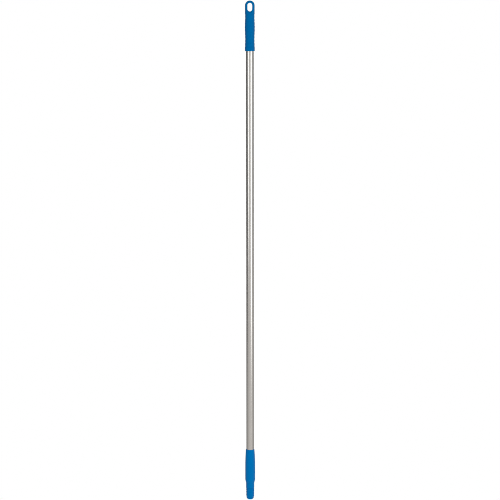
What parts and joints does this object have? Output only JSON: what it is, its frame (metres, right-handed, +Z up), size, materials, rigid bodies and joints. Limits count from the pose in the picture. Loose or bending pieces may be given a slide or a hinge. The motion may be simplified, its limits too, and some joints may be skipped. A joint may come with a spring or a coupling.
{
  "type": "screw-on deck pole",
  "caption": "Straight aluminium pole with a ribbed plastic grip and hanging eye at the top and a barrel collar with a coarse-threaded spigot at the foot for screw-on heads.",
  "frame": {"origin": "on the pole's axis, in the plane where the connector's plain neck meets its stop cone, where a screwed-on head stops", "axes": "+Z up the pole, from the threaded tip to the hanging eye; the eye's hole runs along Y; X is across the eye"},
  "size_m": [0.0286, 0.0286, 1.449],
  "materials": {
    "anodised_tube": "satin clear anodised, drawn",
    "blue_grip": "moulded polypropylene, fine spark-eroded texture",
    "blue_connector": "moulded polypropylene, semi-matte",
    "bung_plastic": "moulded polyethylene, natural",
    "seal_rubber": "moulded nitrile rubber",
    "pin_steel": "rolled stainless spring steel"
  },
  "bodies": {
    "root": {"pole_tube": "anodised_tube", "hand_grip": "blue_grip", "tube_end_plug": "bung_plastic", "grip_seal_ring": "seal_rubber", "threaded_connector": "blue_connector", "connector_collar": "blue_connector", "connector_seal_rings": "seal_rubber", "collar_seal_ring": "seal_rubber", "retaining_pin": "pin_steel"}
  },
  "joints": []
}
